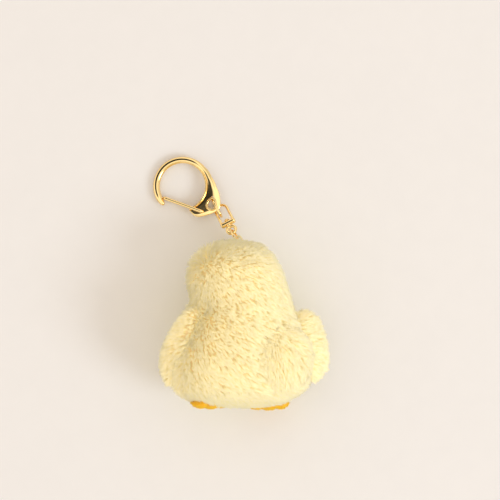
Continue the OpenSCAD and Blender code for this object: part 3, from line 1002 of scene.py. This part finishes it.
def tube_along(name, line, radius, closed, sides=12):
    """A round tube along a line of points, as a curve made into a mesh."""
    data = bpy.data.curves.new(name, "CURVE")
    data.dimensions = "3D"
    data.bevel_depth, data.bevel_resolution = radius * MM, sides // 4
    data.use_fill_caps = True
    spline = data.splines.new("NURBS")
    spline.points.add(len(line) - 1)
    for point, where in zip(spline.points, place(line)):
        point.co = (*where, 1)
    spline.use_cyclic_u, spline.use_endpoint_u = closed, not closed
    spline.order_u, spline.resolution_u = 4, 8
    tube = bpy.data.objects.new(name, data)
    bpy.context.scene.collection.objects.link(tube)
    only(tube)
    bpy.ops.object.convert(target="MESH")
    return bpy.context.object


def join(first, *others):
    only(first)
    for thing in others:
        thing.select_set(True)
    bpy.ops.object.join()
    return first


def smooth(thing, sharpest=None):
    """Smooth shading, all over or only where the faces meet at less than an angle in degrees."""
    only(thing)
    if sharpest is None:
        bpy.ops.object.shade_smooth()
    else:
        bpy.ops.object.shade_smooth_by_angle(angle=math.radians(sharpest))


def cut_away(thing, cutter):
    """Cuts the shape of a closed mesh out of another."""
    hole = thing.modifiers.new("hole", "BOOLEAN")
    hole.object, hole.operation, hole.solver = cutter, "DIFFERENCE", "EXACT"
    apply_all(thing)
    bpy.data.objects.remove(cutter)


def eye_cutter():
    """A column through the plate, with the outline of the hook's eye."""
    bpy.ops.mesh.primitive_cylinder_add(vertices=56, radius=1, depth=2)
    cutter = bpy.context.object
    column = coords(cutter.data)
    round_way = np.arctan2(column[:, 1], column[:, 0])
    rim = np.array(EYE_HOLE)
    middle = rim.mean(axis=0)
    rim_way = np.arctan2(rim[:, 1] - middle[1], rim[:, 0] - middle[0])
    rim_far = np.hypot(rim[:, 0] - middle[0], rim[:, 1] - middle[1])
    order = np.argsort(rim_way)
    far = np.interp(round_way, rim_way[order], rim_far[order], period=2 * math.pi)
    x = middle[0] + far * np.cos(round_way)
    y = middle[1] + far * np.sin(round_way)
    set_coords(cutter.data, place(on_hook(np.stack([x, y, column[:, 2] * 4], -1))))
    return cutter


def hook_beads():
    """The raised rims on both faces of the plate, around its eye and along the ring."""
    beads = []
    for z in (-EYE_BEAD_LEVEL, EYE_BEAD_LEVEL):
        line = [(x, y, z) for x, y in EYE_HOLE]
        beads.append(tube_along(f"eye_bead_{z}", on_hook(line), EYE_BEAD / 2, closed=True))
    angles = np.radians(np.linspace(-70, 66, 24))
    for z in (-RIM_BEAD_LEVEL, RIM_BEAD_LEVEL):
        line = [(RIM_BEAD_REACH * math.cos(t), RIM_BEAD_REACH * math.sin(t), z) for t in angles]
        beads.append(tube_along(f"rim_bead_{z}", on_hook(line), RIM_BEAD / 2, closed=False))
    for bead in beads:
        smooth(bead)
    return beads


def hook_piece():
    bpy.ops.mesh.primitive_uv_sphere_add(segments=40, ring_count=220, radius=1)
    hook = bpy.context.object
    hook.name = hook.data.name = "snap_hook_body"
    set_coords(hook.data, place(hook_shape(coords(hook.data))))
    face_outwards(hook)
    cut_away(hook, eye_cutter())
    smooth(hook, SHARPEST)
    join(hook, *hook_beads())
    wear(hook, GOLD)
    ride_as(hook, "hook", ["hook_frame"])


hook_piece()


# ---------------------------------------------------------------- wire parts


def frame_along(start, end, twist):
    """Puts Y along the way from one point to another, turned about that way by twist degrees."""
    way = Vector(end) - Vector(start)
    level = Matrix.Rotation(math.atan2(way.y, way.x) - math.pi / 2, 4, "Z")
    pitch = Matrix.Rotation(math.asin(way.z / way.length), 4, "X")
    turned = Matrix.Rotation(math.radians(twist), 4, "Y")
    return np.array(Matrix.Translation(start) @ level @ pitch @ turned), way.length


def through(matrix, points):
    return np.asarray(points, float) @ matrix[:3, :3].T + matrix[:3, 3]


def oval_line(run, wide, steps=12):
    """Points around an oval whose ends are at 0 and at run on Y."""
    r = wide / 2
    far = [(r * math.cos(t), run - r + r * math.sin(t), 0) for t in np.linspace(0, math.pi, steps)]
    near = [(-r * math.cos(t), r - r * math.sin(t), 0) for t in np.linspace(0, math.pi, steps)]
    return far + near


def wire_link(name, start, end, twist, wide, wire, body, node_name):
    matrix, run = frame_along(start, end, twist)
    link = tube_along(name, through(matrix, oval_line(run, wide)), wire / 2, closed=True, sides=16)
    smooth(link)
    wear(link, GOLD)
    ride_as(link, body, [node_name])


GATE_WIRE, GATE_GAP = 1.5, 1.55
GATE_TURN = 0.3  # how tightly each leg turns in to the pivot
GATE_END = np.array([-6.8, -5.87])


def gate_piece():
    """The gate: a hairpin of spring wire, whose ends turn in to the pivot."""
    way = GATE_END - PIVOT
    run = np.linalg.norm(way)
    way = way / run
    side_view = [(t, GATE_GAP) for t in np.linspace(GATE_TURN, run, 9)]
    bend = np.linspace(math.pi / 2, -math.pi / 2, 9)[1:-1]
    side_view += [(run + GATE_GAP * math.cos(t), GATE_GAP * math.sin(t)) for t in bend]
    side_view += [(t, -GATE_GAP) for t in np.linspace(run, GATE_TURN, 9)]
    side_view += [(0, z) for z in (-GATE_GAP + GATE_TURN, -0.5, 0.5, GATE_GAP - GATE_TURN)]
    line = [(PIVOT[0] + t * way[0], PIVOT[1] + t * way[1], z) for t, z in side_view]
    gate = tube_along("spring_gate", on_hook(line), GATE_WIRE / 2, closed=True, sides=20)
    smooth(gate)
    wear(gate, GOLD)
    ride_as(gate, "gate", ["hook_gate"])


BOW_BASE, BOW_FAR = (-5.4, 48.1, 7.9), (-9.45, 56, 1.9)
BOW_BEND, BOW_WIRE = 2.8, 1.2
BAR = (7.1, 2.2, 2.6)
BAR_ROUND, BAR_BORE = 0.95, 1.7


def bored_bar():
    """The swivel's bar: a block with rounded edges, and a bore along Y for the pin."""
    bpy.ops.mesh.primitive_cube_add(size=1)
    bar = bpy.context.object
    set_coords(bar.data, coords(bar.data) * np.array(BAR) * MM)
    edge = bar.modifiers.new("edge", "BEVEL")
    edge.width, edge.segments = BAR_ROUND * MM, 6
    apply_all(bar)
    bpy.ops.mesh.primitive_cylinder_add(vertices=48, radius=BAR_BORE / 2 * MM, depth=8 * MM)
    bore = bpy.context.object
    set_coords(bore.data, coords(bore.data)[:, [0, 2, 1]] * np.array([1, -1, 1]))
    cut_away(bar, bore)
    return bar


def bow_piece():
    """The swivel's bow: the bored bar, and a bent wire whose legs end in it."""
    matrix, run = frame_along(BOW_BASE, BOW_FAR, 0)
    bend = [(BOW_BEND * math.cos(t), BOW_BEND * math.sin(t)) for t in np.linspace(0, math.pi, 13)]
    leg = np.linspace(-0.4, run - BOW_BEND - 0.6, 6)
    line = [(BOW_BEND, y, 0) for y in leg]
    line += [(x, run - BOW_BEND + y, 0) for x, y in bend]
    line += [(-BOW_BEND, y, 0) for y in leg[::-1]]
    bow = tube_along("swivel_bow_piece", through(matrix, line), BOW_WIRE / 2, closed=False, sides=16)
    bar = bored_bar()
    set_coords(bar.data, place(through(matrix, coords(bar.data) / MM)))
    smooth(bar, SHARPEST)
    smooth(bow)
    bow.name = bow.data.name = "swivel_bow_piece"
    join(bow, bar)
    wear(bow, GOLD)
    ride_as(bow, "bow", ["swivel_bow"])


LOOP_WIDE, LOOP_RUN = 4.0, 5.8
LOOP_GRIP = 1.1  # how far the loop reaches back through the small link
PLIES, PLY_WIRE, PLY_OFF = 3, 0.5, 0.24
PLY_TURNS, PLY_STEPS = 9, 96
SMALL_LINK_FROM, SMALL_LINK_TO = (-3.7, 44.82, 10.36), (-1.4, 40.9, 14.9)
SMALL_LINK_TWIST = -70
SMALL_LINK_WIDE, SMALL_LINK_WIRE = 3.8, 1.0
LONG_LINK_FROM, LONG_LINK_TO = (-8.4, 51.1, 3.6), (-12.4, 58.5, 3.6)
LONG_LINK_TWIST = 90
LONG_LINK_WIDE, LONG_LINK_WIRE = 6.0, 1.2


def along_loop(s):
    """The place s millimetres along the loop's oval, and the way out of the oval there."""
    r = LOOP_WIDE / 2
    bend = math.pi * r
    straight = LOOP_RUN - LOOP_WIDE
    if s < bend:
        t = math.pi - s / r
        return (r * math.cos(t), r - r * math.sin(t)), (math.cos(t), -math.sin(t))
    if s < bend + straight:
        return (r, r + s - bend), (1, 0)
    if s < 2 * bend + straight:
        t = (s - bend - straight) / r
        return (r * math.cos(t), LOOP_RUN - r + r * math.sin(t)), (math.cos(t), math.sin(t))
    return (-r, LOOP_RUN - r - (s - 2 * bend - straight)), (-1, 0)


def hang_loop_piece():
    """The sewn loop in the head's seam: three thin plies laid round each other."""
    start, end = np.array(SMALL_LINK_FROM), np.array(SMALL_LINK_TO)
    way = unit(end - start)
    near = end - way * LOOP_GRIP
    matrix, _ = frame_along(tuple(near), tuple(near + way * LOOP_RUN), SMALL_LINK_TWIST + 90)
    length = 2 * (LOOP_RUN - LOOP_WIDE) + math.pi * LOOP_WIDE
    plies = []
    for ply in range(PLIES):
        line = []
        for s in length * np.arange(PLY_STEPS) / PLY_STEPS:
            middle, out = along_loop(s)
            lay = 2 * math.pi * (s / length * PLY_TURNS + ply / PLIES)
            off = PLY_OFF * math.cos(lay)
            line.append((middle[0] + out[0] * off, middle[1] + out[1] * off, PLY_OFF * math.sin(lay)))
        name = f"loop_ply_{ply}"
        plies.append(tube_along(name, through(matrix, line), PLY_WIRE / 2, closed=True, sides=8))
        smooth(plies[-1])
    loop = join(*plies)
    loop.name = loop.data.name = "hang_loop_cord"
    wear(loop, CORD)
    ride_as(loop, "plush", ["hang_loop"])


gate_piece()
bow_piece()
hang_loop_piece()
wire_link(
    "small_wire_link", SMALL_LINK_FROM, SMALL_LINK_TO, SMALL_LINK_TWIST, SMALL_LINK_WIDE,
    SMALL_LINK_WIRE, "small_link", "seam_link",
)
wire_link(
    "long_wire_link", LONG_LINK_FROM, LONG_LINK_TO, LONG_LINK_TWIST, LONG_LINK_WIDE,
    LONG_LINK_WIRE, "long_link", "hook_link",
)


# ---------------------------------------------------------------- floor and light

bpy.ops.mesh.primitive_plane_add(size=3, location=(0, 0, 0))
floor = bpy.context.object
floor.name = "floor"
PAPER = cloth_material(
    "floor_paper", (0.84, 0.865, 0.90), (0.85, 0.875, 0.91), 40, 0.02, Roughness=0.9
)
wear(floor, PAPER)


WINDOW_PLACE, WINDOW_AIM = (2.3, -1.1, 1.9), (0, 0, 0.01)
WINDOW_SIZE, WINDOW_WATTS = 1.3, 31.0


def window_light():
    """One wide, cool window, high up on the right."""
    data = bpy.data.lights.new("window", "AREA")
    data.shape, data.size = "DISK", WINDOW_SIZE
    data.energy, data.color = WINDOW_WATTS, (0.88, 0.94, 1.0)
    lamp = bpy.data.objects.new("window", data)
    lamp.location = WINDOW_PLACE
    way = Vector(WINDOW_AIM) - Vector(WINDOW_PLACE)
    lamp.rotation_euler = way.to_track_quat("-Z", "Y").to_euler()
    bpy.context.scene.collection.objects.link(lamp)


DARK_CORNER = (-0.47, 0.43, 0.77)  # the way from the part to the ceiling's dark corner


def studio_world():
    """Warm light from all round. Only polished surfaces see the dark corner of the ceiling."""
    world = bpy.data.worlds.new("studio")
    bpy.context.scene.world = world
    world.use_nodes = True
    tree = world.node_tree
    plain = tree.nodes["Background"]
    plain.inputs["Color"].default_value = (1.0, 0.86, 0.72, 1)
    plain.inputs["Strength"].default_value = 0.92
    coordinate = node(tree, "ShaderNodeTexCoord")
    towards = node(
        tree,
        "ShaderNodeVectorMath",
        [(coordinate.outputs["Generated"], 0), (DARK_CORNER, 1)],
        operation="DOT_PRODUCT",
    )
    ramp = node(tree, "ShaderNodeValToRGB", [(towards.outputs["Value"], "Fac")])
    # How bright the room looks in the metal, from far off the dark corner to its middle.
    stops = ((0.0, 1.0), (0.35, 0.7), (0.55, 1.5), (0.78, 1.2), (0.88, 0.08), (1.0, 0.02))
    for position, level in stops[1:-1]:
        ramp.color_ramp.elements.new(position)
    for element, (position, level) in zip(ramp.color_ramp.elements, stops):
        element.position = position
        element.color = (level, level, level, 1)
    mirrored = node(tree, "ShaderNodeBackground", [(ramp.outputs["Color"], "Color")])
    path = node(tree, "ShaderNodeLightPath")
    mix = node(
        tree,
        "ShaderNodeMixShader",
        [(path.outputs["Is Glossy Ray"], 0), (plain.outputs[0], 1), (mirrored.outputs[0], 2)],
    )
    tree.links.new(mix.outputs[0], tree.nodes["World Output"].inputs["Surface"])


window_light()
studio_world()
bpy.context.scene.view_settings.view_transform = "Standard"

# ---------------------------------------------------------------- CAD nodes that stay

SLOT_MATERIALS = {
    "plush": BACKING, "felt": FELT, "fibre": FIBRE, "thread": CORD, "cord": CORD,
    "gold": GOLD, "eye_plastic": BLACK, "washer_plastic": WHITE,
}
for row in frame["record"]["subparts"]:
    cad = frame["nodes"][row["node"]]
    if not cad.hide_render:
        wear(cad, SLOT_MATERIALS[row["material_slot"]])
